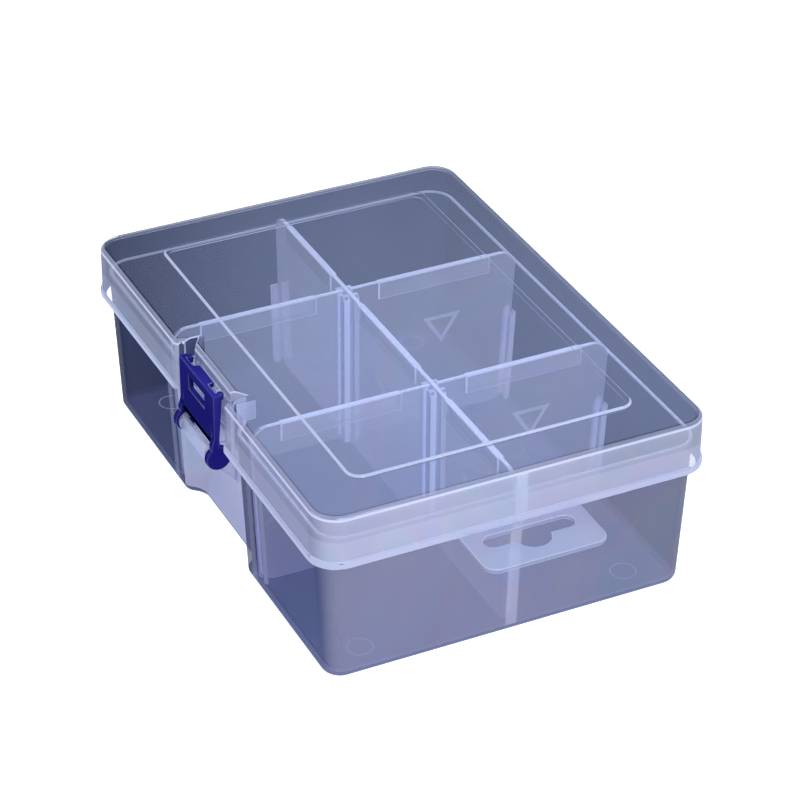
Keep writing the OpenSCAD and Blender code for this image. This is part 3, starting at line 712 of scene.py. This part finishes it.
# %% [markdown]
# ## The tray
#
# Faces that look at the middle of the box line the hollow and are painted with the dark shade,
# and the others are outside. The hang tab, the hinge lugs and the latch bracket are thick or
# small, so they look milky, and so do the channels that hold the dividers. The foot of the tray
# is seen against the ground, so it is painted with the dark shade on both of its sides, and the
# white ground hardly shows through it.

# %% Tray
HALF_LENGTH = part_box("base_tray")[0].x / -MM
RIM_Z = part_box("base_tray")[1].z / MM
RIM_DEPTH = 0.4
TAB_X = HALF_LENGTH + 0.4
PARTS_Y = 57.2  # the hinge lugs and the latch bracket lie outside of this
BAY_HALF, BAY_BACK_Y, BAY_FACING = 23, -50, -0.3
CHANNEL_X, CHANNEL_Y, CHANNEL_Z = 72, 50, 2  # the channels begin here, seen from the middle
RIB_REACH = 3.2
RIB_AREA = 2e-4  # in square metres
RIB_FACING = -60  # the sides of a channel may look away from the middle by this much
FOOT_Z, FOOT_FACING = 4.5, -0.1
HOLLOW_Z = 1


def near_channel(centre):
    at_row = abs(abs(centre.x) - ROW_X) < RIB_REACH and abs(centre.y) > CHANNEL_Y
    at_end = abs(centre.y) < RIB_REACH and CHANNEL_X < abs(centre.x) < HALF_LENGTH
    return (at_row or at_end) and centre.z > CHANNEL_Z


def tray_finish(centre, normal, face):
    inwards = towards_middle(centre, normal)
    if face.material_index == EDGE and centre.z > FOOT_Z and not near_channel(centre):
        return None
    if centre.x > TAB_X:
        return tab_plastic
    if centre.z < FOOT_Z and normal.z < FOOT_FACING:
        return foot
    if abs(centre.y) > PARTS_Y:
        return small_part
    if centre.z > RIM_Z - RIM_DEPTH:
        return tray_edge
    if abs(centre.x) < BAY_HALF and centre.y < BAY_BACK_Y and normal.y < BAY_FACING:
        return bay_wall
    if near_channel(centre) and face.area < RIB_AREA and inwards > RIB_FACING:
        return rib
    # The faces that line the hollow take the painted dark shade.
    lines_hollow = centre.z > HOLLOW_Z and inwards > 0 and normal.z > DOWNWARD
    return lining if lines_hollow else None


tray = moulded_copy("base_tray", "clear_tray",
                    [outer_wall, tray_edge, lining, tab_plastic, rib, small_part, foot, bay_wall], 0.28)
paint(tray, tray_finish)
settle(tray, "base_tray", "tray")

# %% [markdown]
# ## Marks of the ejector pins
#
# Pins push a moulded tray out of its mould, and each leaves a faint raised ring on the floor.
# One ring is made from a circle: its edge is extruded up and inwards to a ridge, and down and
# inwards again, and the two open edges are bridged. The others are copies of it.

# %% Pin marks
FLOOR_Z = 1.4
RING_RADIUS = 3.7
RING_HALF_WIDTH = 0.35
RING_HEIGHT = 0.12
RING_FOOT = 0.05  # how far the ring reaches into the floor
RING_POINTS = 48
RING_PLACES = [(x, y) for x in (-68, 0, 68) for y in (-41, 41)]


def extrude_ring(rise, scale):
    bpy.ops.mesh.extrude_edges_move(TRANSFORM_OT_translate={"value": (0, 0, rise * MM)})
    bpy.ops.transform.resize(value=(scale, scale, 1), center_override=(0, 0, 0))


bpy.ops.object.select_all(action="DESELECT")
outer_radius = RING_RADIUS + RING_HALF_WIDTH
start = (0, 0, (FLOOR_Z - RING_FOOT) * MM)
bpy.ops.mesh.primitive_circle_add(vertices=RING_POINTS, radius=outer_radius * MM, location=start)
ring = bpy.context.object
bpy.ops.object.mode_set(mode="EDIT")
bpy.ops.mesh.select_all(action="SELECT")
extrude_ring(RING_FOOT + RING_HEIGHT, RING_RADIUS / outer_radius)
extrude_ring(-RING_FOOT - RING_HEIGHT, (RING_RADIUS - RING_HALF_WIDTH) / RING_RADIUS)
bpy.ops.mesh.select_all(action="DESELECT")
bpy.ops.mesh.select_mode(type="EDGE")
bpy.ops.mesh.select_non_manifold()
bpy.ops.mesh.bridge_edge_loops()
bpy.ops.mesh.select_all(action="SELECT")
bpy.ops.mesh.normals_make_consistent(inside=False)
bpy.ops.object.mode_set(mode="OBJECT")
ring.data.materials.append(small_part)
print("one ring has faces:", len(ring.data.polygons))

# %% [markdown]
# ## Six marks
#
# The marks stand in two rows, as the pins of a mould do that have to push evenly. Each is a copy
# of the first one. Joined, they are one piece, which rides with the tray.

# %% Copies of the pin mark
only(ring)
for place_x, place_y in RING_PLACES[1:]:
    another = ring.copy()
    another.data = ring.data.copy()
    bpy.context.scene.collection.objects.link(another)
    another.location.x, another.location.y = place_x * MM, place_y * MM
    another.select_set(True)
ring.location.x, ring.location.y = (v * MM for v in RING_PLACES[0])
bpy.ops.object.join()
bpy.ops.object.transform_apply(location=True, rotation=True, scale=True)
bpy.ops.object.shade_smooth_by_angle(angle=SHARP_ANGLE)
ring.name = ring.data.name = "pin_marks"
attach(ring, "tray")
print("pin marks:", len(RING_PLACES), "faces:", len(ring.data.polygons))

# %% [markdown]
# ## The lid
#
# The lid is one thin shell. Its top is the clearest part of the box, so it mostly shows what it
# mirrors. The raised panel and the outer rim have rounded edges; on the side that looks towards the
# lamps, two thin highlight lines are painted on each, with a darker line between them, and the
# edges that look away are painted dimmer. The skirt is painted milkier on its end than on its
# side, where the lamp above the hang tab lights it, and its lower part doubles up with the rim of the
# tray.

# %% Lid
INNER_X, INNER_Y = 80.8, 57.6  # the inside of the skirt
HINGE_Y = 60.2  # the hinge clips lie outside of this
CLIP_Z = 39.5
BEAD_Z = 42.2
LEDGE_Z = 44  # below this the lid has its bead, its ledge and its clips
TOP_Z = 53.9
PANEL_Z, PANEL_EDGE_Z = 56, 55.9
PANEL_X, PANEL_Y = 74, 52  # the outer rim lies outside of this
# The near side of a rounded edge gets painted highlight lines, and its far side is painted dimmer.
SLOPE_FROM, SLOPE_TO = 0.08, 0.97  # how far up a rounded edge looks, from side to top
LINE_LOW, RIM_LINE_LOW, LINE_HIGH = 0.27, 0.5, 0.94  # the parts of it that light up
UPRIGHT = 0.2  # a face whose normal has less z than this stands upright
FAR_FACING, NEAR_FACING = 0.3, 0.05  # how far an edge looks away from the camera or towards it


def lid_finish(centre, normal, face):
    at_rim = abs(centre.x) > PANEL_X or abs(centre.y) > PANEL_Y
    if face.material_index == EDGE:
        # Edges that look away from the lamps and the camera are painted dimmer than the near ones:
        # painted shade against a painted highlight.
        far = normal.x < -FAR_FACING or normal.y > FAR_FACING
        return round_edge if far and at_rim and centre.z > TOP_Z else None
    inside = abs(centre.x) < INNER_X and abs(centre.y) < INNER_Y and LEDGE_Z < centre.z < PANEL_Z
    if centre.y > HINGE_Y or centre.z < CLIP_Z:
        return small_part
    if inside and (towards_middle(centre, normal) > 0 or normal.z < DOWNWARD):
        return lining
    if centre.z < BEAD_Z:
        return bead
    if SLOPE_FROM < normal.z < SLOPE_TO and centre.z > TOP_Z:
        # On the near side two lines of a rounded edge get the milky edge: painted highlight lines.
        on_line = normal.z < (RIM_LINE_LOW if at_rim else LINE_LOW) or normal.z > LINE_HIGH
        near = normal.x > NEAR_FACING or normal.y < -NEAR_FACING
        return rim if on_line and near else round_edge
    if abs(normal.z) < UPRIGHT:
        return rim if centre.z > PANEL_EDGE_Z else skirt
    return bead if centre.z < LEDGE_Z else None


lid = moulded_copy("lid", "clear_lid", [lid_top, rim, lining, skirt, bead, round_edge, small_part], 0.3,
                   thin_below=LEDGE_Z)
paint(lid, lid_finish)
settle(lid, "lid", "lid")

# %% [markdown]
# ## The dividers
#
# One long and four short plates stand in the channels of the tray. Their flat webs are milkier
# than the walls, because both faces of a web are seen at once. Their edges light up most, as
# milk with a painted highlight, and the grip strips and the raised triangle marks a little, as
# they are thicker than the web.

# %% Dividers
STRIP_Z, STRIP_AREA = 47, 4e-4  # the grip strip is above this, and the area is in square metres
TOP_DEPTH = 0.5  # the top edge is above the strip's lower end less this
MARK_LOW, MARK_HIGH = 26, 38
MARK_AREA = 12 * MM ** 2
SQUARE_ON = 0.9  # a normal with more than this along an axis looks along it


def divider(node, name, web, along):
    def divider_finish(centre, normal, face):
        at_top = normal.z > SQUARE_ON and centre.z > STRIP_Z - TOP_DEPTH
        if at_top or abs(normal.dot(along)) > SQUARE_ON:
            return rim
        if MARK_LOW < centre.z < MARK_HIGH and face.area < MARK_AREA:
            return mark
        if centre.z > STRIP_Z and face.area < STRIP_AREA and face.material_index != EDGE:
            return strip
        return None

    piece = moulded_copy(node, name, [web, rim, strip, mark], 0.22)
    paint(piece, divider_finish)
    settle(piece, node, "tray")


divider("long_divider", "divider_long", long_web, Vector((1, 0, 0)))
for node in sorted(name for name in frame["nodes"] if name.startswith("short_divider")):
    divider(node, node.replace("short_divider", "divider_short"), short_web, Vector((0, 1, 0)))

# %% [markdown]
# ## The latch
#
# The latch is one opaque blue piece: a plate with a window, a hook above it, and two flanges
# with round ends that turn on the tray's bracket. Its bevels get three segments, because its
# edges are short and seen from near.

# %% Latch
latch = moulded_copy("latch", "snap_latch", [latch_face, latch_edge], 0.25, segments=3)
settle(latch, "latch", "latch")
